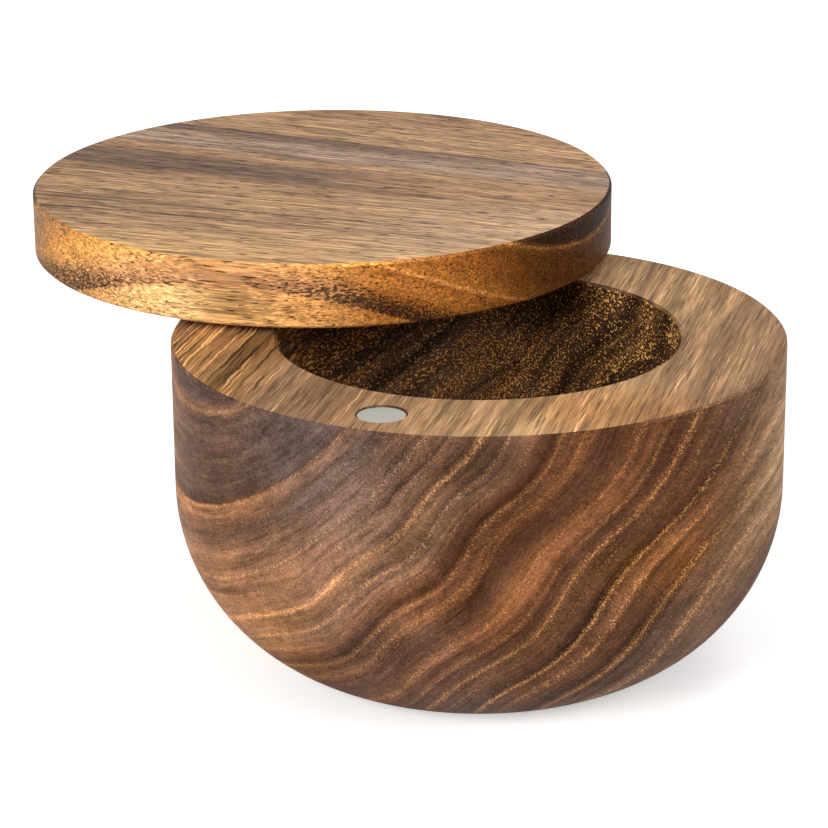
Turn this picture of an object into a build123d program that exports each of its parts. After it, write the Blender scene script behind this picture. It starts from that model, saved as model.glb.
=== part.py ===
from build123d import *
import os
from math import cos, radians, sin

# Salt pig: a bowl turned from one block of wood, with a thick wooden lid that swivels sideways on a
# hidden pin and is held shut by a pair of magnets.
# Millimetres, +Z up. The origin is the centre of the bowl's base, on the surface that it stands on.
# The magnets meet at the front, -Y, and the pin is at the back, +Y. The lid is built swung open.

# Bowl, outside
bowl_radius = 63.5
bowl_height = 68.0
wall_height = 31.0            # straight wall, from the rim down to where the underside curves in
base_radius = 40.0            # flat face that it stands on
rim_chamfer = 0.5
base_chamfer = 1.0

# Bowl, inside
rim_width = 21.8
floor_thickness = 14.0
cavity_corner = 10.0          # radius where the cavity's wall meets its floor
mouth_chamfer = 0.6

# Lid
lid_overhang = 1.0            # how far the lid's edge stands out past the bowl's wall
lid_thickness = 13.8
lid_top_chamfer = 0.6
lid_bottom_chamfer = 0.5
lid_gap = 1.5                 # air between the rim and the lid, set by the bush's flange
lid_swing = -81.0             # degrees from closed, clockwise seen from above

# Disc magnets, one in the rim and one in the lid's underside
magnet_radius = 5.0
magnet_thickness = 3.0
magnet_chamfer = 0.3
magnet_inset = 10.0           # from the bowl's wall to the magnet's centre
magnet_recess = 0.3           # how far a magnet's face lies below the wood
magnet_clearance = 0.15

# Pivot pin: glued into the lid, snapped into the bush
pin_radius = 2.5
pin_inset = 8.5               # from the bowl's wall to the pin's axis
pin_in_lid = 10.0
pin_in_bush = 20.0
pin_end_chamfer = 0.6
neck_depth = 0.35             # of the groove that the bush's bead snaps into
neck_width = 2.0
neck_from_end = 3.0

# Pivot bush: a top-hat bearing pressed into the rim
bush_wall = 1.5
flange_width = 2.4            # how far the flange stands out past the bush's barrel
bush_below_pin = 1.0          # length of bush and hole below the pin's end

# Clearances
running_clearance = 0.08      # pin to bush, radial
bearing_clearance = 0.05      # flange to lid and bead to neck, along the pin
glue_film = 0.05              # round a pressed or glued piece, radial

# Places that follow from the sizes above
curve_start = bowl_height - wall_height
cavity_radius = bowl_radius - rim_width
cavity_wall_end = floor_thickness + cavity_corner
magnet_circle = bowl_radius - magnet_inset
pivot_circle = bowl_radius - pin_inset
lid_radius = bowl_radius + lid_overhang
lid_bottom = bowl_height + lid_gap
pocket_radius = magnet_radius + magnet_clearance
pocket_depth = magnet_thickness + magnet_recess
pin_top = lid_bottom + pin_in_lid
pin_bottom = bowl_height - pin_in_bush
neck_radius = pin_radius - neck_depth
neck_bottom = pin_bottom + neck_from_end
neck_top = neck_bottom + neck_width
bore_radius = pin_radius + running_clearance
bead_radius = neck_radius + running_clearance
bush_radius = bore_radius + bush_wall
flange_radius = bush_radius + flange_width
bush_bottom = pin_bottom - bush_below_pin

# The closed lid is centred on the bowl. Turned about the pin, its centre moves to here.
swing = radians(lid_swing)
lid_centre = (pivot_circle * sin(swing), pivot_circle * (1 - cos(swing)))
lid_plane = Plane(
    origin=(*lid_centre, lid_bottom),
    x_dir=(cos(swing), sin(swing), 0),
    z_dir=(0, 0, 1),
)
pivot_plane = Plane(origin=(0, pivot_circle, 0), x_dir=(1, 0, 0), z_dir=(0, -1, 0))


# Bowl: one turned profile, then the pocket for the magnet and the hole for the bush
with BuildPart() as bowl:
    with BuildSketch(Plane.XZ):
        with BuildLine():
            Line((0, 0), (base_radius, 0))
            TangentArc((bowl_radius, curve_start), (base_radius, 0), tangent=(0, -1))
            Line((bowl_radius, curve_start), (bowl_radius, bowl_height))
            Line((bowl_radius, bowl_height), (cavity_radius, bowl_height))
            Line((cavity_radius, bowl_height), (cavity_radius, cavity_wall_end))
            TangentArc(
                (cavity_radius, cavity_wall_end),
                (cavity_radius - cavity_corner, floor_thickness),
                tangent=(0, -1),
            )
            Line((cavity_radius - cavity_corner, floor_thickness), (0, floor_thickness))
            Line((0, floor_thickness), (0, 0))
        make_face()
    revolve(axis=Axis.Z)
    circles = bowl.edges().filter_by(GeomType.CIRCLE).group_by(Axis.Z)
    mouth_edge, rim_edge = circles[-1].sort_by(SortBy.RADIUS)
    chamfer(circles[0], base_chamfer)
    chamfer(mouth_edge, mouth_chamfer)
    chamfer(rim_edge, rim_chamfer)
    with Locations((0, -magnet_circle, bowl_height)):
        Hole(pocket_radius, pocket_depth)
    with Locations((0, pivot_circle, bowl_height)):
        Hole(bush_radius + glue_film, bowl_height - bush_bottom)
bowl.part.label = "bowl"


# Lid: a thick disc with its sharp edges taken off, drilled from below for the pin and the magnet
with BuildPart() as lid:
    with BuildSketch(lid_plane):
        Circle(lid_radius)
    extrude(amount=lid_thickness)
    rims = lid.edges().filter_by(GeomType.CIRCLE).group_by(Axis.Z)
    chamfer(rims[0], lid_bottom_chamfer)
    chamfer(rims[-1], lid_top_chamfer)
    with BuildSketch(lid_plane):
        with Locations((0, pivot_circle)):
            Circle(pin_radius + glue_film)
    extrude(amount=pin_in_lid, mode=Mode.SUBTRACT)
    with BuildSketch(lid_plane):
        with Locations((0, -magnet_circle)):
            Circle(pocket_radius)
    extrude(amount=pocket_depth, mode=Mode.SUBTRACT)
lid.part.label = "lid"


# Pivot pin: a steel dowel with chamfered ends and a neck near its lower end
with BuildPart() as pivot_pin:
    with BuildSketch(pivot_plane):
        with BuildLine():
            Polyline(
                (0, pin_bottom),
                (pin_radius - pin_end_chamfer, pin_bottom),
                (pin_radius, pin_bottom + pin_end_chamfer),
                (pin_radius, neck_bottom),
                (neck_radius, neck_bottom + neck_depth),
                (neck_radius, neck_top - neck_depth),
                (pin_radius, neck_top),
                (pin_radius, pin_top - pin_end_chamfer),
                (pin_radius - pin_end_chamfer, pin_top),
                (0, pin_top),
                close=True,
            )
        make_face()
    revolve(axis=Axis((0, pivot_circle, 0), (0, 0, 1)))
pivot_pin.part.label = "pivot_pin"


# Pivot bush: its barrel takes the pin, its bead snaps into the pin's neck, its flange carries the lid
with BuildPart() as pivot_bush:
    with BuildSketch(pivot_plane):
        with BuildLine():
            Polyline(
                (bore_radius, bush_bottom),
                (bush_radius, bush_bottom),
                (bush_radius, bowl_height),
                (flange_radius, bowl_height),
                (flange_radius, lid_bottom - bearing_clearance),
                (bore_radius, lid_bottom - bearing_clearance),
                (bore_radius, neck_top - bearing_clearance),
                (bead_radius, neck_top - neck_depth - bearing_clearance),
                (bead_radius, neck_bottom + neck_depth + bearing_clearance),
                (bore_radius, neck_bottom + bearing_clearance),
                close=True,
            )
        make_face()
    revolve(axis=Axis((0, pivot_circle, 0), (0, 0, 1)))
pivot_bush.part.label = "pivot_bush"


# Magnets: nickel-plated discs with bevelled edges, seated on the floors of their pockets
with BuildPart() as bowl_magnet:
    with BuildSketch(Plane.XY.offset(bowl_height - pocket_depth)):
        with Locations((0, -magnet_circle)):
            Circle(magnet_radius)
    extrude(amount=magnet_thickness)
    chamfer(bowl_magnet.edges().filter_by(GeomType.CIRCLE), magnet_chamfer)
bowl_magnet.part.label = "bowl_magnet"

with BuildPart() as lid_magnet:
    with BuildSketch(lid_plane.offset(magnet_recess)):
        with Locations((0, -magnet_circle)):
            Circle(magnet_radius)
    extrude(amount=magnet_thickness)
    chamfer(lid_magnet.edges().filter_by(GeomType.CIRCLE), magnet_chamfer)
lid_magnet.part.label = "lid_magnet"


os.makedirs("parts", exist_ok=True)
for piece in (bowl, lid, pivot_pin, pivot_bush, bowl_magnet, lid_magnet):
    export_step(piece.part, f"parts/{piece.part.label}.step")
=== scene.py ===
from collections import namedtuple
from math import radians

import bpy
import numpy as np
from mathutils import Matrix, Vector

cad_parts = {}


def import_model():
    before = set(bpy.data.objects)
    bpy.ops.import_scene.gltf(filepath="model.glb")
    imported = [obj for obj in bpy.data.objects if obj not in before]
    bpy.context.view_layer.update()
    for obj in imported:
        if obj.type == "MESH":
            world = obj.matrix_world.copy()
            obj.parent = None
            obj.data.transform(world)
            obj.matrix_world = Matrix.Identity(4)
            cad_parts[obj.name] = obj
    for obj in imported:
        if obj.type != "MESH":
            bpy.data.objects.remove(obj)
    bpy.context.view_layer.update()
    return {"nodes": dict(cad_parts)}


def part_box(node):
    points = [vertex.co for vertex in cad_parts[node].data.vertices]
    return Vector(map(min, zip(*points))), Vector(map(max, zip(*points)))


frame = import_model()

# Camera, in metres and degrees, and its lens and sensor in millimetres
CAMERA_PLACE = (0.2205, -0.5931, 0.2756)
CAMERA_AIM = (-0.0125, -0.0050, 0.0502)
CAMERA_ROLL = -0.482
LENS = 140.05
SENSOR = 36.0

# Floor in metres, and levels of light: on the object from all round, and from the floor as seen
FLOOR_SIZE = 8.0
AMBIENT = 0.5
FLOOR_GLOW = 0.45

# Lamps: name, place and width in metres, and watts
LAMP_AIM = (0.0, 0.0, 0.05)
LAMPS = (
    ("key light", (-0.55, -1.35, 0.8), 0.8, 20.0),
    ("fill light", (1.3, -0.3, 0.9), 0.8, 7.0),
    ("back light", (0.2, 1.3, 1.2), 0.9, 8.0),
)

# Wood, in millimetres and degrees: the fibre's turn, the pith, and the form of the rings round it
BOWL_CENTRE = (0.0, 0.0, 0.0)
BOWL_FIBRE_TURN = -7.0
BOWL_PITH = (-36.0, 92.5)
BOWL_LEAN = -0.455
BOWL_FLATTEN = 0.77
BOWL_RIPPLE = 1.2
BOWL_WANDER = 2.0
LID_FIBRE_TURN = 91.0
LID_PITH = (4.0, 158.3)
LID_TAPER = 0.0015
LID_WANDER = 1.2
LID_BACK_DROP = 12.0          # how much lower the lid's rings lie at its back

# Ripple of the rings: waves in a full turn, their shift with distance and at the start in radians,
# and the distances between which it grows in
RIPPLE_WAVES = 15.6
RIPPLE_SHIFT = -0.034
RIPPLE_START = 2.37
RIPPLE_GROWS = (48.0, 80.0)

# Lumps of the rings' slow wander, across the fibre and along it
WANDER_WIDTH = 21.0
WANDER_LENGTH = 90.0

# Fine lines along the rings: lumps to a mm across them and to a radian round them, their length,
# and how much they lighten and darken each wood
LINE_RATE = 0.4
LINE_TURNS = 1.8
LINE_LENGTH = 70.0
BOWL_LINE_DEPTH = 0.8
LID_LINE_DEPTH = 0.15

# The bowl's cavity, in millimetres
CAVITY_RADIUS = 41.7
CAVITY_FLOOR = 14.0

# Depth of the pores, in metres
PORE_DEPTH = 0.00008

# Tones of the wood in sRGB, from dark to light
TONES = {
    "ink": "231812",
    "soot": "3C2417",
    "dark_chestnut": "3D2415",
    "tar": "412511",
    "deep_bark": "432B20",
    "bark": "4C3022",
    "burnt_umber": "523014",
    "umber": "513322",
    "bark_brown": "57351F",
    "dark_slate": "4E3B33",
    "walnut": "61402D",
    "chestnut": "643F26",
    "rust": "6A3E18",
    "ember": "72421A",
    "line_brown": "5E4A3C",
    "slate": "62493C",
    "grey_walnut": "6A4E3E",
    "tan": "764A2F",
    "ash": "62544F",
    "copper": "7F4E20",
    "red_oak": "7A5138",
    "russet": "76543C",
    "heart_brown": "6E5849",
    "drab": "7D5A42",
    "fawn": "866149",
    "tawny": "876145",
    "amber_oak": "88623E",
    "brown_oak": "89674A",
    "dusk_rose": "8A6858",
    "dull_oak": "8F6D50",
    "band_brown": "986A4D",
    "warm_gold": "A06A35",
    "dusk_brown": "8D7260",
    "pale_fawn": "9A6F53",
    "bright_line": "A87038",
    "face_brown": "997657",
    "band_honey": "A5744D",
    "rose_oak": "9F7A58",
    "face_rose": "9C816C",
    "honey": "B07C52",
    "oak": "A6805C",
    "face_tan": "A48160",
    "pale_oak": "AD8960",
    "face_pale": "B28C67",
    "dark_sand": "C08C62",
    "sand": "CA8C52",
    "face_straw": "BB9468",
    "apricot": "D4985E",
    "gold": "DA9850",
    "pale_rose": "C2A284",
    "pale_sand": "DAA060",
    "pale_gold": "E0A156",
    "glint": "E8B060",
    "pale_straw": "EDBE80",
}

# Growth rings: distance from the pith in mm, and tone
RING_SPAN = 160.0
BOWL_END_RINGS = (
    (21.6, "dark_slate"),
    (23.9, "russet"),
    (25.2, "slate"),
    (39.2, "slate"),
    (40.6, "walnut"),
    (41.4, "honey"),
    (43.8, "band_brown"),
    (45.2, "russet"),
    (46.6, "grey_walnut"),
    (50.6, "pale_fawn"),
    (54.2, "fawn"),
    (58.2, "pale_fawn"),
    (62.6, "fawn"),
    (66.4, "tawny"),
    (70.6, "grey_walnut"),
    (72.6, "drab"),
    (75.2, "walnut"),
    (78.0, "dark_chestnut"),
    (80.6, "umber"),
    (84.0, "bark_brown"),
    (88.8, "bark"),
    (91.6, "chestnut"),
    (94.4, "tan"),
    (96.0, "tan"),
    (97.8, "chestnut"),
    (99.2, "umber"),
    (107.0, "walnut"),
    (110.6, "deep_bark"),
    (114.4, "red_oak"),
    (122.6, "deep_bark"),
    (125.0, "grey_walnut"),
    (140.0, "slate"),
)
BOWL_LONG_RINGS = (
    (16.0, "amber_oak"),
    (21.0, "amber_oak"),
    (25.0, "dull_oak"),
    (38.0, "brown_oak"),
    (41.2, "oak"),
    (45.0, "brown_oak"),
    (49.0, "oak"),
    (61.0, "oak"),
    (73.0, "pale_oak"),
    (79.0, "oak"),
    (87.0, "pale_oak"),
    (93.0, "rose_oak"),
    (97.0, "oak"),
    (101.0, "dull_oak"),
    (105.0, "rose_oak"),
    (109.0, "dull_oak"),
    (113.5, "brown_oak"),
    (118.0, "rose_oak"),
    (122.0, "oak"),
    (130.0, "oak"),
    (134.0, "brown_oak"),
    (138.0, "walnut"),
)
LID_LONG_RINGS = (
    (74.0, "rose_oak"),
    (79.0, "brown_oak"),
    (80.6, "brown_oak"),
    (82.3, "apricot"),
    (84.5, "dark_sand"),
    (88.5, "sand"),
    (91.5, "gold"),
    (93.8, "pale_gold"),
    (96.4, "apricot"),
    (100.3, "dark_sand"),
    (100.8, "apricot"),
    # The two pale sand stops at the outer rings carry a painted sheen
    (103.4, "pale_sand"),
    (106.5, "pale_sand"),
)
LID_END_RINGS = (
    (74.0, "walnut"),
    (77.0, "soot"),
    (79.9, "soot"),
    (80.3, "bright_line"),
    (80.9, "copper"),
    (82.2, "rust"),
    (85.0, "ember"),
    (87.5, "ember"),
    (90.6, "copper"),
    (91.4, "copper"),
    (91.7, "bright_line"),
    (92.1, "ember"),
    (95.2, "copper"),
    (96.6, "rust"),
    (98.6, "burnt_umber"),
    (100.4, "tar"),
    (100.8, "copper"),
    (108.0, "ember"),
)

# The lid's flat faces: distance across the fibre in mm, front positive, and tone; the tones are
# paler and greyer than the side's, partly the wood and partly a painted sheen
FACE_SPAN = 140.0
LID_FACE_STRIPES = (
    (-64.0, "face_brown"),
    (-57.0, "face_brown"),
    (-50.0, "face_tan"),
    (-42.0, "face_pale"),
    (-37.5, "face_tan"),
    (-33.0, "face_pale"),
    (-31.2, "dusk_brown"),
    (-28.5, "dusk_brown"),
    (-25.0, "face_rose"),
    (-18.0, "face_rose"),
    (-13.0, "face_tan"),
    (-2.0, "face_brown"),
    (6.0, "face_brown"),
    (10.0, "face_tan"),
    (18.0, "face_pale"),
    (26.5, "face_tan"),
    (31.0, "face_tan"),
    (40.0, "face_tan"),
    (46.0, "face_pale"),
    (54.0, "face_straw"),
    (64.0, "face_straw"),
)

# Small dark marks on the lid's faces: middle and reach, across and along
FACE_MARKS = (
    ((-1.5, -24.0), (2.4, 20.0)),
    ((4.6, 24.0), (2.0, 13.0)),
    ((-0.2, 44.0), (2.0, 9.0)),
)

# Two thin dark lines on the lid's faces: distance across
FIRST_LINE = 28.7
SECOND_LINE = 35.4

# Painted shade on stretches of the lid's side: rings and places along between which each grows in,
# and shade
SIDE_SHADES = (
    ((99.5, 101.5), (-14.0, -42.0), -0.3),
    ((92.4, 94.4), (44.0, 56.0), -0.6),
)

# A patch of painted shade on the lid's side: middle and reach, along and up
SIDE_SHADE_PATCH = ((10.0, 76.0), (18.0, 7.0))

# Rings along which the end grain shows bright pores: distance, reach and strength
BOWL_PORE_ROWS = (
    (23.9, 0.7, 0.6),
    (41.0, 0.8, 0.8),
    (48.4, 1.2, 0.3),
    (55.2, 1.0, 0.7),
    (60.0, 1.2, 0.3),
    (65.0, 1.3, 1.0),
    (70.2, 1.1, 0.8),
    (74.6, 1.0, 0.5),
    (79.6, 1.6, 0.8),
    (83.4, 3.4, 0.6),
    (93.4, 1.6, 0.6),
    (98.4, 1.0, 0.6),
    (102.6, 1.6, 0.9),
    (106.2, 0.8, 0.5),
    (111.4, 1.2, 1.0),
    (115.4, 1.6, 0.6),
    (122.4, 1.6, 1.0),
    (129.6, 1.6, 0.9),
)
LID_PORE_ROWS = ((80.5, 0.7, 1.0), (91.7, 0.6, 1.0))

# Lighter and darker clouds in the bowl's end grain: middle and reach, across and up, and strength.
# Most are tones of the wood; the three lighter ones at the front middle, 31 to 37 mm up, are a
# painted sheen.
BOWL_CLOUDS = (
    ((-58.0, 46.0), (16.0, 26.0), 0.25),
    ((-34.0, 44.0), (24.0, 18.0), -0.18),
    ((-26.0, 63.0), (14.0, 8.0), -0.2),
    ((-24.0, 13.0), (28.0, 14.0), 0.35),
    ((-6.0, 33.0), (26.0, 14.0), 0.25),
    ((2.0, 31.0), (10.0, 7.0), 0.6),
    ((-7.0, 21.0), (16.0, 7.0), -0.3),
    ((0.0, 49.0), (14.0, 9.0), -0.25),
    ((3.0, 64.0), (24.0, 14.0), -0.5),
    ((12.0, 37.0), (20.0, 9.0), 0.4),
    ((24.0, 46.0), (16.0, 18.0), 0.25),
    ((29.0, 60.0), (9.0, 12.0), 0.3),
    ((44.0, 12.0), (22.0, 8.0), -0.2),
    ((36.0, 60.0), (7.0, 12.0), 0.2),
    ((38.0, 26.0), (18.0, 12.0), -0.2),
    ((46.0, 62.0), (12.0, 10.0), -0.15),
    ((55.0, 38.0), (12.0, 12.0), 0.25),
)

# Stains in the bowl's end grain: middle and reach, across and up, share and tone
BOWL_STAINS = (
    ((-16.0, 60.0), (25.0, 25.0), 0.6, "ash"),
    ((15.0, 63.0), (14.0, 8.0), 0.55, "deep_bark"),
    ((-38.0, 20.0), (28.0, 22.0), 0.25, "warm_gold"),
    ((0.0, 16.0), (26.0, 20.0), 0.3, "dusk_rose"),
    ((54.0, 42.0), (16.0, 28.0), 0.25, "ember"),
    ((45.0, 38.0), (15.0, 9.0), 0.35, "copper"),
    ((42.0, 12.0), (24.0, 11.0), 0.3, "slate"),
    ((14.0, 6.0), (26.0, 8.0), 0.3, "ash"),
)

# A yellower patch of the rim at the front right: middle and reach, across and along
AMBER_RIM = ((38.0, -42.0), (28.0, 20.0))

# Streaks of the figure: width and length in mm, and depth of shade
BOWL_STREAKS = ((0.5, 12.0, 0.38), (2.4, 30.0, 0.25), (9.0, 50.0, 0.15))
LID_STREAKS = ((0.42, 14.0, 0.75), (1.6, 40.0, 0.3), (6.0, 90.0, 0.15))


# Where a point of the surface lies in its log: across, along and up the fibre in mm, its growth ring
# and its angle round the pith
Spot = namedtuple("Spot", "across along height ring angle")


def colour(name):
    """The tone's linear colour: each sRGB channel c becomes ((c + 0.055) / 1.055) ** 2.4."""
    channels = np.array(list(bytes.fromhex(TONES[name]))) / 255
    linear = np.where(channels <= 0.04045, channels / 12.92, ((channels + 0.055) / 1.055) ** 2.4)
    return (*linear, 1.0)


def feed(tree, socket, value):
    """Sets an input to a number or a colour, or links it to another node's output."""
    if isinstance(value, bpy.types.NodeSocket):
        tree.links.new(value, socket)
    else:
        socket.default_value = value


def sum_of(tree, operation, *values, clamp=False):
    """A Math node: the operation on one, two or three values."""
    made = tree.nodes.new("ShaderNodeMath")
    made.operation = operation
    made.use_clamp = clamp
    for socket, value in zip(made.inputs, values):
        feed(tree, socket, value)
    return made.outputs[0]


def vector_of(tree, x, y, z=0.0):
    """A vector made of three values."""
    made = tree.nodes.new("ShaderNodeCombineXYZ")
    for socket, value in zip(made.inputs, (x, y, z)):
        feed(tree, socket, value)
    return made.outputs[0]


def in_lumps(tree, *parts):
    """A place for noise: each value is given with the size of the noise's lumps that way."""
    return vector_of(tree, *(sum_of(tree, "DIVIDE", value, size) for value, size in parts))


def parts_of(tree, vector):
    """A Separate XYZ node's outputs, X, Y and Z."""
    made = tree.nodes.new("ShaderNodeSeparateXYZ")
    tree.links.new(vector, made.inputs[0])
    return made.outputs


def length_of(tree, vector):
    """The vector's length."""
    made = tree.nodes.new("ShaderNodeVectorMath")
    made.operation = "LENGTH"
    tree.links.new(vector, made.inputs[0])
    return made.outputs["Value"]


def scaled(tree, vector, factor):
    """The vector or colour, times the factor."""
    made = tree.nodes.new("ShaderNodeVectorMath")
    made.operation = "SCALE"
    tree.links.new(vector, made.inputs[0])
    feed(tree, made.inputs["Scale"], factor)
    return made.outputs[0]


def turned(tree, vector, angle):
    """The vector, turned about Z."""
    made = tree.nodes.new("ShaderNodeVectorRotate")
    made.rotation_type = "Z_AXIS"
    tree.links.new(vector, made.inputs["Vector"])
    feed(tree, made.inputs["Angle"], angle)
    return made.outputs[0]


def ranged(tree, value, low, high, to_low=0.0, to_high=1.0, smooth=True):
    """The value carried from low..high to to_low..to_high, and held there outside."""
    made = tree.nodes.new("ShaderNodeMapRange")
    made.interpolation_type = "SMOOTHSTEP" if smooth else "LINEAR"
    for name, number in (
        ("Value", value),
        ("From Min", low),
        ("From Max", high),
        ("To Min", to_low),
        ("To Max", to_high),
    ):
        feed(tree, made.inputs[name], number)
    return made.outputs["Result"]


def noise(tree, place, detail, roughness):
    """Noise from 0 to 1 about 0.5, one lump to each unit of its place."""
    made = tree.nodes.new("ShaderNodeTexNoise")
    made.inputs["Scale"].default_value = 1.0
    made.inputs["Detail"].default_value = detail
    made.inputs["Roughness"].default_value = roughness
    tree.links.new(place, made.inputs["Vector"])
    return made.outputs["Fac"]


def swung(tree, lump, depth):
    """Noise as a factor about 1, which swings up and down by the depth."""
    least = sum_of(tree, "SUBTRACT", 1.0, depth)
    most = sum_of(tree, "ADD", 1.0, depth)
    return ranged(tree, lump, 0.25, 0.75, least, most, smooth=False)


def blended(tree, share, first, second, how="MIX"):
    """The second colour over the first, by a share from 0 to 1."""
    made = tree.nodes.new("ShaderNodeMix")
    made.data_type = "RGBA"
    made.blend_type = how
    feed(tree, made.inputs["Factor"], share)
    feed(tree, made.inputs["A"], first)
    feed(tree, made.inputs["B"], second)
    colours = [s for s in made.outputs if s.type == "RGBA"]
    return colours[0]


def ring_colours(tree, ring, rings, start=0.0, span=RING_SPAN):
    """A ramp of the wood's tones over a distance in mm, which runs from the start over the span."""
    made = tree.nodes.new("ShaderNodeValToRGB")
    ramp = made.color_ramp
    ramp.interpolation = "LINEAR"
    while len(ramp.elements) < len(rings):
        ramp.elements.new(0.5)
    for element, (distance, name) in zip(ramp.elements, rings):
        element.position = (distance - start) / span
        element.color = colour(name)
    from_start = sum_of(tree, "SUBTRACT", ring, start)
    tree.links.new(sum_of(tree, "DIVIDE", from_start, span), made.inputs["Fac"])
    return made.outputs["Color"]


def near(tree, value, middle, reach):
    """1 where the value is at the middle, falling to 0 at the reach on each side."""
    off = sum_of(tree, "ABSOLUTE", sum_of(tree, "SUBTRACT", value, middle))
    return sum_of(tree, "SUBTRACT", 1.0, sum_of(tree, "DIVIDE", off, reach), clamp=True)


def patch(tree, across, up, middle, reach):
    """1 at the middle of an upright oval, falling to 0 at its reach, all in mm."""
    across_off = sum_of(tree, "SUBTRACT", across, middle[0])
    up_off = sum_of(tree, "SUBTRACT", up, middle[1])
    from_middle = length_of(tree, in_lumps(tree, (across_off, reach[0]), (up_off, reach[1])))
    return ranged(tree, from_middle, 1.0, 0.25)


def new_group(name, inputs, outputs):
    """A node group; inputs are given as name and default, outputs as name and number of parts."""
    tree = bpy.data.node_groups.new(name, "ShaderNodeTree")
    kinds = {1: "NodeSocketFloat", 3: "NodeSocketVector", 4: "NodeSocketColor"}
    for socket_name, default in inputs:
        kind = kinds[np.size(default)]
        socket = tree.interface.new_socket(socket_name, in_out="INPUT", socket_type=kind)
        socket.default_value = default
    for socket_name, parts in outputs:
        tree.interface.new_socket(socket_name, in_out="OUTPUT", socket_type=kinds[parts])
    return tree, tree.nodes.new("NodeGroupInput").outputs, tree.nodes.new("NodeGroupOutput").inputs


def placed(tree, group, **values):
    """The group as a node, with its inputs set or linked; an input's name has _ for each space."""
    made = tree.nodes.new("ShaderNodeGroup")
    made.node_tree = group
    for name, value in values.items():
        feed(tree, made.inputs[name.replace("_", " ")], value)
    return made.outputs


def fibre_frame_group():
    """Object coordinates in mm from the piece's centre, turned until the fibre lies along Y.

    With a taper the fibre fans out: the distance across is scaled by 1 + taper y.
    """
    tree, given, result = new_group(
        "fibre frame",
        (("Point", (0.0, 0.0, 0.0)), ("Centre", (0.0, 0.0, 0.0)), ("Turn", 0.0), ("Taper", 0.0)),
        (("Across", 1), ("Along", 1), ("Height", 1)),
    )
    centred = tree.nodes.new("ShaderNodeVectorMath")
    centred.operation = "SUBTRACT"
    tree.links.new(scaled(tree, given["Point"], 1000.0), centred.inputs[0])
    tree.links.new(given["Centre"], centred.inputs[1])
    parts = parts_of(tree, turned(tree, centred.outputs[0], given["Turn"]))
    fan = sum_of(tree, "MULTIPLY_ADD", parts["Y"], given["Taper"], 1.0)
    tree.links.new(sum_of(tree, "MULTIPLY", parts["X"], fan), result["Across"])
    tree.links.new(parts["Y"], result["Along"])
    tree.links.new(parts["Z"], result["Height"])
    return tree


def growth_rings_group():
    """Distance from the pith in the plane across the fibre.

    With a across and h up from the pith, it is the square root of (a + lean h)^2 + (flatten h)^2,
    plus a ripple round the pith and a slow wander of noise.
    """
    tree, given, result = new_group(
        "growth rings",
        (
            ("Across", 0.0),
            ("Along", 0.0),
            ("Height", 0.0),
            ("Pith across", 0.0),
            ("Pith height", 0.0),
            ("Lean", 0.0),
            ("Flatten", 1.0),
            ("Ripple", 0.0),
            ("Wander", 0.0),
        ),
        (("Ring", 1), ("Angle", 1)),
    )
    across = sum_of(tree, "SUBTRACT", given["Across"], given["Pith across"])
    height = sum_of(tree, "SUBTRACT", given["Height"], given["Pith height"])
    leant = sum_of(tree, "MULTIPLY_ADD", height, given["Lean"], across)
    flat = sum_of(tree, "MULTIPLY", height, given["Flatten"])
    squares = sum_of(tree, "MULTIPLY_ADD", leant, leant, sum_of(tree, "MULTIPLY", flat, flat))
    distance = sum_of(tree, "SQRT", squares)
    angle = sum_of(tree, "ARCTAN2", height, across)
    phase = sum_of(tree, "MULTIPLY", angle, RIPPLE_WAVES)
    phase = sum_of(tree, "MULTIPLY_ADD", distance, RIPPLE_SHIFT, phase)
    wave = sum_of(tree, "SINE", sum_of(tree, "ADD", phase, RIPPLE_START))
    wave = sum_of(tree, "MULTIPLY", wave, ranged(tree, distance, *RIPPLE_GROWS))
    ripple = sum_of(tree, "MULTIPLY", wave, given["Ripple"])
    place = in_lumps(
        tree,
        (given["Across"], WANDER_WIDTH),
        (given["Along"], WANDER_LENGTH),
        (given["Height"], WANDER_WIDTH),
    )
    drift = sum_of(tree, "SUBTRACT", noise(tree, place, detail=3.0, roughness=0.5), 0.5)
    wandered = sum_of(tree, "MULTIPLY_ADD", drift, given["Wander"], distance)
    tree.links.new(sum_of(tree, "ADD", wandered, ripple), result["Ring"])
    tree.links.new(angle, result["Angle"])
    return tree


def ring_lines_group():
    """Fine lines along the growth rings, as a factor about 1."""
    tree, given, result = new_group(
        "ring lines",
        (("Ring", 0.0), ("Angle", 0.0), ("Along", 0.0), ("Depth", 0.5)),
        (("Shade", 1),),
    )
    place = vector_of(
        tree,
        sum_of(tree, "MULTIPLY", given["Ring"], LINE_RATE),
        sum_of(tree, "MULTIPLY", given["Angle"], LINE_TURNS),
        sum_of(tree, "DIVIDE", given["Along"], LINE_LENGTH),
    )
    lines = noise(tree, place, detail=5.0, roughness=0.8)
    tree.links.new(swung(tree, lines, given["Depth"]), result["Shade"])
    return tree


def streaks_group():
    """Streaks of the figure: noise drawn out along the fibre, as a factor about 1."""
    tree, given, result = new_group(
        "streaks",
        (
            ("Across", 0.0),
            ("Along", 0.0),
            ("Height", 0.0),
            ("Width", 1.0),
            ("Length", 30.0),
            ("Depth", 0.2),
        ),
        (("Shade", 1),),
    )
    place = in_lumps(
        tree,
        (given["Across"], given["Width"]),
        (given["Along"], given["Length"]),
        (given["Height"], given["Width"]),
    )
    streaks = noise(tree, place, detail=2.0, roughness=0.7)
    tree.links.new(swung(tree, streaks, given["Depth"]), result["Shade"])
    return tree


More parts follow.
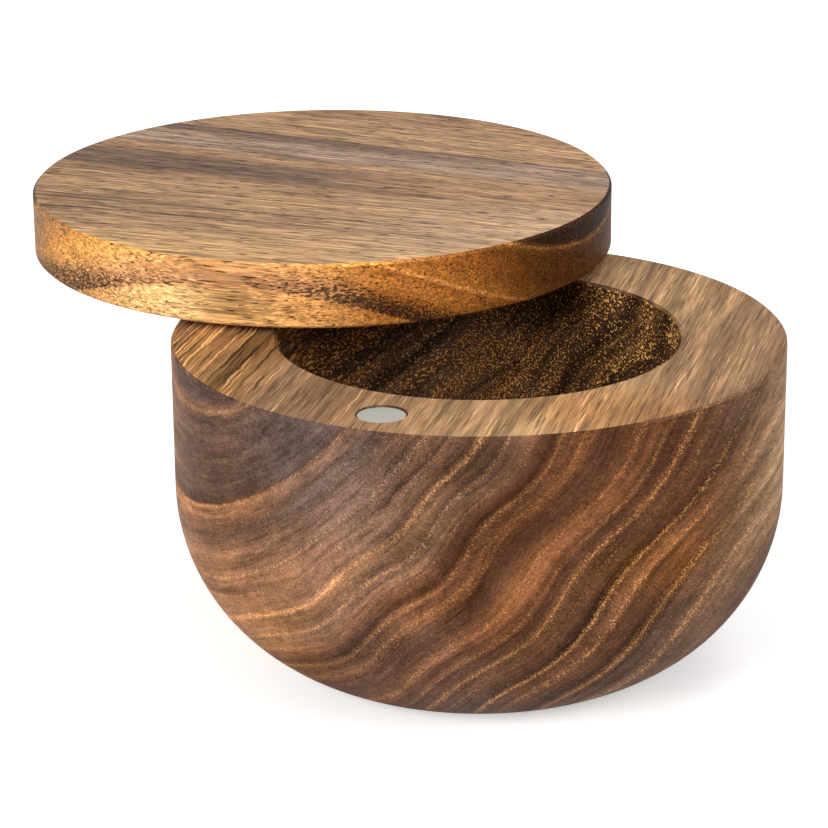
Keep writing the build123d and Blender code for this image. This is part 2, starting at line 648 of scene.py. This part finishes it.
def pores_group():
    """Vessels of the wood: noise drawn out along the fibre and cut at a level.

    They show as specks where the cut crosses the fibre, and as fine lines where it follows it.
    """
    tree, given, result = new_group(
        "pores",
        (
            ("Across", 0.0),
            ("Along", 0.0),
            ("Height", 0.0),
            ("Width", 0.4),
            ("Length", 12.0),
            ("Level", 0.6),
            ("Softness", 0.08),
        ),
        (("Pore", 1),),
    )
    place = in_lumps(
        tree,
        (given["Across"], given["Width"]),
        (given["Along"], given["Length"]),
        (given["Height"], given["Width"]),
    )
    top = sum_of(tree, "ADD", given["Level"], given["Softness"])
    lump = noise(tree, place, detail=1.5, roughness=0.5)
    tree.links.new(ranged(tree, lump, given["Level"], top), result["Pore"])
    return tree


def end_grain_group():
    """How squarely the surface cuts the fibre, 0 along it, 1 across it, and how level it lies."""
    tree, given, result = new_group(
        "end grain",
        (("Turn", 0.0),),
        (("End grain", 1), ("Level", 1)),
    )
    facing = tree.nodes.new("ShaderNodeTexCoord").outputs["Normal"]
    parts = parts_of(tree, turned(tree, facing, given["Turn"]))
    tree.links.new(sum_of(tree, "ABSOLUTE", parts["Y"]), result["End grain"])
    tree.links.new(sum_of(tree, "ABSOLUTE", parts["Z"]), result["Level"])
    return tree


def tinted_group():
    """The base colour times its shade, with the glint of bright pores and the ink of dark ones."""
    tree, given, result = new_group(
        "tinted",
        (("Base", colour("oak")), ("Shade", 1.0), ("Glint", 0.0), ("Dark", 0.0)),
        (("Colour", 4),),
    )
    shaded = scaled(tree, given["Base"], given["Shade"])
    lit = blended(tree, given["Glint"], shaded, colour("glint"), "ADD")
    tree.links.new(blended(tree, given["Dark"], lit, colour("ink")), result["Colour"])
    return tree


FIBRE_FRAME = fibre_frame_group()
GROWTH_RINGS = growth_rings_group()
RING_LINES = ring_lines_group()
STREAKS = streaks_group()
PORES = pores_group()
END_GRAIN = end_grain_group()
TINTED = tinted_group()


def new_material(name):
    """A material, its node tree and its Principled shader."""
    made = bpy.data.materials.new(name)
    made.use_nodes = True
    shader = made.node_tree.nodes["Principled BSDF"]
    return made, made.node_tree, shader


def wood_spot(tree, centre, turn, pith, taper=0.0, lean=0.0, flatten=1.0, ripple=0.0, wander=0.0):
    """Where a point of the surface lies in the log."""
    point = tree.nodes.new("ShaderNodeTexCoord").outputs["Object"]
    fibre = placed(tree, FIBRE_FRAME, Point=point, Centre=centre, Turn=radians(turn), Taper=taper)
    rings = placed(
        tree,
        GROWTH_RINGS,
        Across=fibre["Across"],
        Along=fibre["Along"],
        Height=fibre["Height"],
        Pith_across=pith[0],
        Pith_height=pith[1],
        Lean=lean,
        Flatten=flatten,
        Ripple=ripple,
        Wander=wander,
    )
    return Spot(fibre["Across"], fibre["Along"], fibre["Height"], rings["Ring"], rings["Angle"])


def pores(tree, spot, width, length, level, softness):
    """Pores of a width and length in mm; a lower level gives more of them."""
    return placed(
        tree,
        PORES,
        Across=spot.across,
        Along=spot.along,
        Height=spot.height,
        Width=width,
        Length=length,
        Level=level,
        Softness=softness,
    )["Pore"]


def cut_rings(tree, ring, end_rings, long_rings, end_share):
    """The ring tones of the cut across the fibre and of the cut along it, blended."""
    along_fibre = ring_colours(tree, ring, long_rings)
    across_fibre = ring_colours(tree, ring, end_rings)
    return blended(tree, end_share, along_fibre, across_fibre)


def pore_rows(tree, ring, rows_of_wood):
    """How strongly a ring is a row of bright pores, from 0 to 1."""
    rows = 0.0
    for distance, reach, strength in rows_of_wood:
        row = sum_of(tree, "MULTIPLY", near(tree, ring, distance, reach), strength)
        rows = sum_of(tree, "MAXIMUM", rows, row)
    return rows


def grained(tree, spot, base, line_depth, streaks, shine, glint, dark):
    """Ring lines, streaks and shine over the base colour, then bright and dark pores."""
    shade = placed(
        tree, RING_LINES, Ring=spot.ring, Angle=spot.angle, Along=spot.along, Depth=line_depth
    )["Shade"]
    for width, length, depth in streaks:
        streak = placed(
            tree,
            STREAKS,
            Across=spot.across,
            Along=spot.along,
            Height=spot.height,
            Width=width,
            Length=length,
            Depth=depth,
        )["Shade"]
        shade = sum_of(tree, "MULTIPLY", shade, streak)
    shade = sum_of(tree, "MULTIPLY", shade, sum_of(tree, "ADD", shine, 1.0))
    return placed(tree, TINTED, Base=base, Shade=shade, Glint=glint, Dark=dark)["Colour"]


def finish_wood(tree, shader, base, specks, dark, roughness):
    """The colour, the roughness from wood to pore, and the pores sunk in the surface."""
    tree.links.new(base, shader.inputs["Base Color"])
    tree.links.new(ranged(tree, specks, 0.0, 1.0, *roughness), shader.inputs["Roughness"])
    shader.inputs["Specular IOR Level"].default_value = 0.02
    bump = tree.nodes.new("ShaderNodeBump")
    bump.inputs["Strength"].default_value = 0.5
    bump.inputs["Distance"].default_value = PORE_DEPTH
    relief = sum_of(tree, "SUBTRACT", 1.0, sum_of(tree, "MAXIMUM", specks, dark))
    tree.links.new(relief, bump.inputs["Height"])
    tree.links.new(bump.outputs["Normal"], shader.inputs["Normal"])


def in_cavity(tree, spot):
    """1 on the wall and the floor of the bowl's cavity, 0 on the rest of the bowl."""
    out = length_of(tree, vector_of(tree, spot.across, spot.along))
    inside = ranged(tree, out, CAVITY_RADIUS + 0.3, CAVITY_RADIUS - 0.1)
    above = ranged(tree, spot.height, CAVITY_FLOOR - 5.0, CAVITY_FLOOR - 1.0)
    return sum_of(tree, "MULTIPLY", inside, above)


def bowl_base(tree, spot, end_share, inside, bands):
    """The ring tones and their stains, yellower at the front right of the rim.

    The cavity is darkened with painted shade, less of it at the left, with warm bands.
    """
    base = cut_rings(tree, spot.ring, BOWL_END_RINGS, BOWL_LONG_RINGS, end_share)
    for middle, reach, share, tone in BOWL_STAINS:
        stain = patch(tree, spot.across, spot.height, middle, reach)
        stain = sum_of(tree, "MULTIPLY", stain, sum_of(tree, "MULTIPLY", end_share, share))
        base = blended(tree, stain, base, colour(tone))
    amber = patch(tree, spot.across, spot.along, *AMBER_RIM)
    amber = sum_of(tree, "MULTIPLY", amber, sum_of(tree, "SUBTRACT", 0.5, end_share, clamp=True))
    base = blended(tree, amber, base, colour("bright_line"))
    warmth = sum_of(tree, "MULTIPLY", inside, ranged(tree, bands, 0.48, 0.6, 0.0, 0.6))
    base = blended(tree, warmth, base, colour("ember"))
    # Painted shade: ink over the cavity, heavier towards the right
    cavity_shade_share = ranged(tree, spot.across, 25.0, -20.0, 0.92, 0.5)
    return blended(tree, sum_of(tree, "MULTIPLY", inside, cavity_shade_share), base, colour("ink"))


def bowl_clouds(tree, spot, end_share):
    """The clouds in the end grain, as a shade to add; the lighter ones at the front middle are a
    painted sheen.
    """
    clouds = 0.0
    for middle, reach, strength in BOWL_CLOUDS:
        cloud = patch(tree, spot.across, spot.height, middle, reach)
        clouds = sum_of(tree, "MULTIPLY_ADD", cloud, strength, clouds)
    return sum_of(tree, "MULTIPLY", clouds, end_share)


def rim_lines(tree, spot, end_share, level):
    """Gold lines, dark lines and broad bands along the fibre on the rim, strongest at its left."""
    lengthwise = sum_of(tree, "SUBTRACT", 1.0, end_share)
    lengthwise = sum_of(tree, "MULTIPLY", lengthwise, ranged(tree, level, 0.6, 0.9))
    bend_place = in_lumps(tree, (spot.across, 8.0), (spot.along, 6.0))
    bend = noise(tree, bend_place, detail=2.0, roughness=0.6)
    bent = spot._replace(across=sum_of(tree, "MULTIPLY_ADD", bend, 1.5, spot.across))
    gold_level = ranged(tree, spot.across, -55.0, -15.0, 0.57, 0.69)
    gold = pores(tree, bent, width=0.6, length=40.0, level=gold_level, softness=0.05)
    gold = sum_of(tree, "MULTIPLY", gold, lengthwise)
    dark_level = ranged(tree, spot.across, -55.0, -15.0, 0.56, 0.72)
    dark = pores(tree, bent, width=0.9, length=35.0, level=dark_level, softness=0.06)
    dark = sum_of(tree, "MULTIPLY", dark, lengthwise)
    at_left = sum_of(tree, "MULTIPLY", lengthwise, ranged(tree, spot.across, -24.0, -50.0))
    broad = pores(tree, bent, width=2.6, length=60.0, level=0.5, softness=0.14)
    broad = sum_of(tree, "MULTIPLY_ADD", broad, -0.7, 0.4)
    return gold, dark, sum_of(tree, "MULTIPLY", at_left, broad)


def bowl_wood():
    """One log: end grain on the front and back, long grain on rim, base and sides."""
    made, tree, shader = new_material("bowl wood")
    spot = wood_spot(
        tree,
        BOWL_CENTRE,
        BOWL_FIBRE_TURN,
        BOWL_PITH,
        lean=BOWL_LEAN,
        flatten=BOWL_FLATTEN,
        ripple=BOWL_RIPPLE,
        wander=BOWL_WANDER,
    )
    cut = placed(tree, END_GRAIN, Turn=radians(BOWL_FIBRE_TURN))
    end_share = ranged(tree, cut["End grain"], 0.1, 0.6)
    inside = in_cavity(tree, spot)
    bands_place = in_lumps(tree, (spot.ring, 5.0), (spot.height, 22.0), (spot.along, 30.0))
    bands = noise(tree, bands_place, detail=2.0, roughness=0.6)
    base = bowl_base(tree, spot, end_share, inside, bands)

    # Bright specks, thickest in the rows and in the cavity, chips in the cavity, and dark pores
    rows = sum_of(tree, "MULTIPLY", pore_rows(tree, spot.ring, BOWL_PORE_ROWS), end_share)
    level = ranged(tree, spot.height, 10.0, 48.0, 0.62, 0.65)
    level = sum_of(tree, "MULTIPLY_ADD", sum_of(tree, "MAXIMUM", rows, inside), -0.16, level)
    specks = pores(tree, spot, width=0.28, length=14.0, level=level, softness=0.08)
    chip_level = ranged(tree, bands, 0.4, 0.6, 0.64, 0.56)
    chips = pores(tree, spot, width=0.42, length=8.0, level=chip_level, softness=0.03)
    chips = sum_of(tree, "MULTIPLY", chips, inside)
    dark = pores(tree, spot, width=0.3, length=12.0, level=0.58, softness=0.1)
    gold_lines, dark_lines, rim_bands = rim_lines(tree, spot, end_share, cut["Level"])
    crest = sum_of(tree, "POWER", rows, 3.0)
    base = blended(tree, sum_of(tree, "MULTIPLY", crest, 0.3), base, colour("warm_gold"))

    # Lighter or darker than the base, with the clouds' painted sheen at the front middle
    shine = sum_of(tree, "MULTIPLY_ADD", rows, 0.12, bowl_clouds(tree, spot, end_share))
    shine = sum_of(tree, "MULTIPLY_ADD", crest, 0.15, shine)
    shine = sum_of(tree, "ADD", gold_lines, shine)
    shine = sum_of(tree, "ADD", rim_bands, shine)
    patches = ranged(tree, bands, 0.4, 0.62, -0.4, 0.25)
    shine = sum_of(tree, "MULTIPLY_ADD", inside, patches, shine)
    shine = sum_of(tree, "ADD", specks, shine)

    # Gold in the specks, more of it in the rows and towards the right, in the lines and the chips
    gilding = sum_of(tree, "MULTIPLY", rows, ranged(tree, spot.ring, 50.0, 110.0, 0.08, 0.25))
    gilding = sum_of(tree, "ADD", gilding, ranged(tree, spot.ring, 85.0, 110.0, 0.03, 0.13))
    line_gilding = ranged(tree, spot.across, -55.0, -30.0, 0.45, 0.15)
    glint = sum_of(tree, "MULTIPLY", gold_lines, line_gilding)
    glint = sum_of(tree, "MULTIPLY_ADD", specks, gilding, glint)
    glint = sum_of(tree, "MULTIPLY_ADD", chips, 1.15, glint)

    dark_share = sum_of(tree, "MULTIPLY", dark, 0.5)
    dark_share = sum_of(tree, "MAXIMUM", dark_share, sum_of(tree, "MULTIPLY", dark_lines, 0.75))
    base = grained(tree, spot, base, BOWL_LINE_DEPTH, BOWL_STREAKS, shine, glint, dark_share)
    finish_wood(tree, shader, base, specks, dark, roughness=(0.5, 0.62))
    return made


def face_lines(tree, spot, wave):
    """Two thin dark lines near the front of the lid's faces, the first one parted at the left."""
    waved = sum_of(tree, "MULTIPLY_ADD", spot.along, 0.022, spot.across)
    waved = sum_of(tree, "MULTIPLY_ADD", wave, 0.4, waved)
    first = sum_of(tree, "MULTIPLY", near(tree, waved, FIRST_LINE, 0.8), 0.9)
    parting = ranged(tree, spot.along, 0.0, -55.0, 0.0, 2.4, smooth=False)
    twin = near(tree, sum_of(tree, "ADD", waved, parting), FIRST_LINE, 0.6)
    twin = sum_of(tree, "MULTIPLY", twin, ranged(tree, spot.along, 5.0, -10.0, 0.0, 0.8))
    second = near(tree, waved, SECOND_LINE, 0.7)
    second = sum_of(tree, "MULTIPLY", second, ranged(tree, spot.along, 50.0, -10.0, 0.5, 1.0))
    return sum_of(tree, "MAXIMUM", sum_of(tree, "MAXIMUM", first, twin), second)


def lid_faces(tree, spot):
    """The lid's flat faces: stripes across the fibre, with dark heart streaks at the left.

    Small marks, a dark stretch at the back and two thin lines lie over them, and painted light makes
    the right paler.
    """
    wave_place = in_lumps(tree, (spot.across, 9.0), (spot.along, 28.0))
    wave = sum_of(tree, "SUBTRACT", noise(tree, wave_place, detail=3.0, roughness=0.6), 0.5)
    stripe = sum_of(tree, "MULTIPLY_ADD", wave, 3.0, spot.across)
    face = ring_colours(tree, stripe, LID_FACE_STRIPES, -0.5 * FACE_SPAN, FACE_SPAN)
    heart = ranged(tree, near(tree, stripe, -1.5, 8.5), 0.0, 0.6)
    heart = sum_of(tree, "MULTIPLY", heart, ranged(tree, spot.along, 24.0, -8.0, 0.0, 0.9))
    face = blended(tree, heart, face, colour("heart_brown"))
    marks = 0.0
    for middle, reach in FACE_MARKS:
        marks = sum_of(tree, "ADD", patch(tree, stripe, spot.along, middle, reach), marks)
    face = blended(tree, sum_of(tree, "MULTIPLY", marks, 0.6), face, colour("line_brown"))
    back = ranged(tree, stripe, -32.4, -31.4)
    back = sum_of(tree, "MULTIPLY", back, ranged(tree, stripe, -23.5, -30.5))
    back = sum_of(tree, "MULTIPLY", back, ranged(tree, spot.along, 40.0, -20.0, 0.1, 0.8))
    face = blended(tree, back, face, colour("line_brown"))
    face = blended(tree, face_lines(tree, spot, wave), face, colour("line_brown"))
    # Painted light: the faces grow paler towards the right, at the front
    pale = ranged(tree, spot.across, -4.0, 12.0)
    pale = sum_of(tree, "MULTIPLY", pale, ranged(tree, spot.along, 5.0, 62.0, 0.0, 0.4))
    return blended(tree, pale, face, colour("pale_rose"))


def lid_band(tree, spot, upright):
    """A band of dark dashes on the lid's side, and its depth.

    It is broad at the left, thin at the front and broader again at the right.
    """
    edge = ranged(tree, spot.along, -52.0, -12.0, 91.0, 97.4)
    edge = sum_of(tree, "SUBTRACT", edge, ranged(tree, spot.along, 12.0, 32.0, 0.0, 2.2))
    inner = ranged(tree, sum_of(tree, "SUBTRACT", spot.ring, edge), 0.0, 4.4)
    outer = ranged(tree, spot.ring, 101.0, 100.4)
    band = sum_of(tree, "MULTIPLY", sum_of(tree, "MULTIPLY", inner, outer), upright)
    depth = ranged(tree, spot.along, -28.0, -6.0, 1.0, 0.1)
    depth = sum_of(tree, "ADD", depth, ranged(tree, spot.along, 14.0, 34.0))
    return band, depth


def lid_base(tree, spot, end_share, flat, band, depth):
    """The ring tones of the side, a painted sheen at its left end, its band and a painted highlight
    on the wood under it, and the flat faces.
    """
    base = cut_rings(tree, spot.ring, LID_END_RINGS, LID_LONG_RINGS, end_share)
    # Painted sheen: a pale rose veil over the left end
    left_sheen = ranged(tree, spot.along, -40.0, -62.0, 0.0, 0.3)
    base = blended(tree, left_sheen, base, colour("face_rose"))
    stain = sum_of(tree, "MULTIPLY", band, sum_of(tree, "MULTIPLY", depth, 0.75))
    stain = sum_of(tree, "MULTIPLY", stain, sum_of(tree, "SUBTRACT", 1.0, end_share))
    base = blended(tree, stain, base, colour("band_honey"))
    # Painted highlight: pale straw on the outer rings at the front of the side
    lit = ranged(tree, spot.ring, 100.4, 101.6, 0.0, 0.9)
    lit = sum_of(tree, "MULTIPLY", lit, near(tree, spot.along, -4.0, 24.0))
    base = blended(tree, lit, base, colour("pale_straw"))
    return blended(tree, flat, base, lid_faces(tree, spot))


def lid_shade(tree, spot, upright, end_side):
    """Painted light and shade on the lid, in slow changes: the faces lighter to the right, painted
    shade on the side at the left, on some stretches and in a patch near the front, and its end grain
    lighter, then darker at the right end.
    """
    # Painted light: the faces lighter towards the right
    light_slope = ranged(tree, spot.across, -30.0, 20.0, 0.04, 0.2)
    shade = sum_of(tree, "MULTIPLY", sum_of(tree, "DIVIDE", spot.along, 60.0), light_slope)
    # Painted shade over the left part of the side
    side = ranged(tree, spot.along, -62.0, -34.0, -0.55, 0.0)
    side = sum_of(tree, "ADD", side, ranged(tree, spot.along, -34.0, -16.0, -0.24, -0.04))
    # Painted shade on stretches of the side
    for rings, stretch, depth in SIDE_SHADES:
        under = ranged(tree, spot.along, *stretch, 0.0, depth)
        side = sum_of(tree, "MULTIPLY_ADD", ranged(tree, spot.ring, *rings), under, side)
    # A patch of painted shade near the front of the side
    shade_patch = patch(tree, spot.along, spot.height, *SIDE_SHADE_PATCH)
    side = sum_of(tree, "MULTIPLY_ADD", shade_patch, -0.3, side)
    shade = sum_of(tree, "MULTIPLY_ADD", side, upright, shade)
    # Painted light on the end grain of the side, turning to painted shade at its right end
    bright = ranged(tree, spot.along, 45.0, 65.0, 1.42, -0.68)
    return sum_of(tree, "MULTIPLY_ADD", end_side, bright, shade)


def lid_wood(centre):
    """Another log, its fibre from left to right as built: plain faces and a banded side."""
    made, tree, shader = new_material("lid wood")
    spot = wood_spot(tree, centre, LID_FIBRE_TURN, LID_PITH, taper=LID_TAPER, wander=LID_WANDER)
    # Towards the back the rings lie lower, so the dark band stays on the side there
    drop = ranged(tree, spot.across, -10.0, -60.0, 0.0, LID_BACK_DROP)
    spot = spot._replace(ring=sum_of(tree, "SUBTRACT", spot.ring, drop))
    cut = placed(tree, END_GRAIN, Turn=radians(LID_FIBRE_TURN))
    # The left end takes mostly the lighter long-grain tones, fading to full end grain towards the
    # right
    end_share = ranged(tree, cut["End grain"], 0.15, 0.6)
    dip = ranged(tree, spot.along, -20.0, 15.0, 0.22, 1.0)
    end_share = sum_of(tree, "MULTIPLY", end_share, dip)
    flat = ranged(tree, cut["Level"], 0.78, 0.9)
    upright = sum_of(tree, "SUBTRACT", 1.0, flat)
    end_side = sum_of(tree, "MULTIPLY", upright, end_share)
    band, depth = lid_band(tree, spot, upright)
    base = lid_base(tree, spot, end_share, flat, band, depth)

    # Bright specks in two rows at the right, and dark dashes, thickest in the band
    rows = sum_of(tree, "MULTIPLY", pore_rows(tree, spot.ring, LID_PORE_ROWS), end_side)
    rows = sum_of(tree, "MULTIPLY", rows, ranged(tree, spot.along, 32.0, 60.0, 1.0, 0.55))
    level = sum_of(tree, "MULTIPLY_ADD", rows, -0.12, 0.58)
    specks = pores(tree, spot, width=0.3, length=12.0, level=level, softness=0.09)
    density = ranged(tree, cut["End grain"], 0.1, 0.5, -0.14, -0.2)
    density = sum_of(tree, "MULTIPLY", density, ranged(tree, depth, 0.0, 1.0, 0.7, 1.0))
    dash_level = ranged(tree, flat, 0.0, 1.0, 0.628, 0.605)
    dash_level = sum_of(tree, "MULTIPLY_ADD", band, density, dash_level)
    dashes = pores(tree, spot, width=0.38, length=4.5, level=dash_level, softness=0.03)

    shine = sum_of(tree, "MULTIPLY_ADD", specks, 0.7, lid_shade(tree, spot, upright, end_side))
    gilding = sum_of(tree, "MULTIPLY_ADD", rows, 0.3, 0.02)
    gilding = sum_of(tree, "MULTIPLY_ADD", end_side, 0.08, gilding)
    glint = sum_of(tree, "MULTIPLY", specks, gilding)
    dark_share = sum_of(tree, "MULTIPLY", dashes, 0.8)
    base = grained(tree, spot, base, LID_LINE_DEPTH, LID_STREAKS, shine, glint, dark_share)
    finish_wood(tree, shader, base, specks, dashes, roughness=(0.45, 0.58))
    return made


def cloudy(tree, lumps_per_metre, detail):
    """Even noise through the piece."""
    point = tree.nodes.new("ShaderNodeTexCoord").outputs["Object"]
    return noise(tree, scaled(tree, point, lumps_per_metre), detail, roughness=0.6)


def metal(name, tone, roughness, scratch_size):
    """A plated or ground metal, with its tone and roughness varied by fine noise."""
    made, tree, shader = new_material(name)
    cloud = cloudy(tree, 1.0 / scratch_size, detail=4.0)
    dull = tuple(0.8 * c for c in tone)
    varied = ranged(tree, cloud, 0.2, 0.8, 0.7 * roughness, 1.3 * roughness, smooth=False)
    tree.links.new(blended(tree, cloud, (*tone, 1.0), (*dull, 1.0)), shader.inputs["Base Color"])
    tree.links.new(varied, shader.inputs["Roughness"])
    shader.inputs["Metallic"].default_value = 1.0
    return made


def nylon():
    """Natural nylon, slightly translucent, varied by fine noise."""
    made, tree, shader = new_material("natural nylon")
    cloud = cloudy(tree, lumps_per_metre=1500.0, detail=3.0)
    base = blended(tree, cloud, (0.72, 0.69, 0.60, 1.0), (0.62, 0.59, 0.50, 1.0))
    tree.links.new(base, shader.inputs["Base Color"])
    tree.links.new(ranged(tree, cloud, 0.2, 0.8, 0.4, 0.55), shader.inputs["Roughness"])
    shader.inputs["Subsurface Weight"].default_value = 0.1
    return made


def dress(node_name, material):
    """Gives a piece its finish."""
    node = frame["nodes"][node_name]
    node.data.materials.clear()
    node.data.materials.append(material)


def centre_of(node_name):
    """The middle of a node's box across and along, in mm, at the height of the base."""
    low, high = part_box(node_name)
    middle = 500 * (low + high)
    return middle.x, middle.y, 0.0


def seen_or(tree, ambient, seen_level):
    """One level for what the camera, gloss or glass sees, and another for all other light."""
    path = tree.nodes.new("ShaderNodeLightPath").outputs
    seen = sum_of(tree, "MAXIMUM", path["Is Camera Ray"], path["Is Glossy Ray"])
    seen = sum_of(tree, "MAXIMUM", seen, path["Is Transmission Ray"])
    return ranged(tree, seen, 0.0, 1.0, ambient, seen_level, smooth=False)


def floor():
    """A plain square, which glows a little where it is seen, so that it reads as white."""
    half = FLOOR_SIZE / 2
    mesh = bpy.data.meshes.new("floor")
    corners = [(-half, -half, 0), (half, -half, 0), (half, half, 0), (-half, half, 0)]
    mesh.from_pydata(corners, [], [(0, 1, 2, 3)])
    made = bpy.data.objects.new("floor", mesh)
    bpy.context.scene.collection.objects.link(made)
    material, tree, shader = new_material("pale floor")
    shader.inputs["Base Color"].default_value = (0.85, 0.85, 0.85, 1.0)
    shader.inputs["Roughness"].default_value = 0.9
    shader.inputs["Specular IOR Level"].default_value = 0.1
    shader.inputs["Emission Color"].default_value = (1.0, 1.0, 1.0, 1.0)
    tree.links.new(seen_or(tree, 0.0, FLOOR_GLOW), shader.inputs["Emission Strength"])
    mesh.materials.append(material)


def world():
    """White where it is seen, and a plain soft light on the object."""
    made = bpy.data.worlds.new("studio")
    made.use_nodes = True
    tree = made.node_tree
    tree.links.new(seen_or(tree, AMBIENT, 1.0), tree.nodes["Background"].inputs["Strength"])
    tree.nodes["Background"].inputs["Color"].default_value = (1.0, 1.0, 1.0, 1.0)
    bpy.context.scene.world = made


def softbox(name, place, size, watts):
    """A round soft lamp, aimed at the object."""
    lamp = bpy.data.lights.new(name, "AREA")
    lamp.shape = "DISK"
    lamp.size = size
    lamp.energy = watts
    made = bpy.data.objects.new(name, lamp)
    bpy.context.scene.collection.objects.link(made)
    turn = (Vector(LAMP_AIM) - Vector(place)).to_track_quat("-Z", "Y")
    made.matrix_world = Matrix.Translation(place) @ turn.to_matrix().to_4x4()


def camera():
    """The photograph's viewing angle."""
    lens = bpy.data.cameras.new("camera")
    lens.lens = LENS
    lens.sensor_width = SENSOR
    made = bpy.data.objects.new("camera", lens)
    bpy.context.scene.collection.objects.link(made)
    aim = (Vector(CAMERA_AIM) - Vector(CAMERA_PLACE)).to_track_quat("-Z", "Y").to_matrix().to_4x4()
    roll = Matrix.Rotation(radians(CAMERA_ROLL), 4, "Z")
    made.matrix_world = Matrix.Translation(CAMERA_PLACE) @ aim @ roll
    bpy.context.scene.camera = made


dress("bowl", bowl_wood())
dress("lid", lid_wood(centre_of("lid")))
nickel = metal("satin nickel", (0.52, 0.53, 0.48), roughness=0.35, scratch_size=0.0015)
steel = metal("ground steel", (0.55, 0.55, 0.56), roughness=0.25, scratch_size=0.0008)
dress("bowl_magnet", nickel)
dress("lid_magnet", nickel)
dress("pivot_pin", steel)
dress("pivot_bush", nylon())

floor()
world()
for lamp_name, lamp_place, lamp_size, lamp_watts in LAMPS:
    softbox(lamp_name, lamp_place, lamp_size, lamp_watts)
camera()
bpy.context.scene.view_settings.view_transform = "Standard"
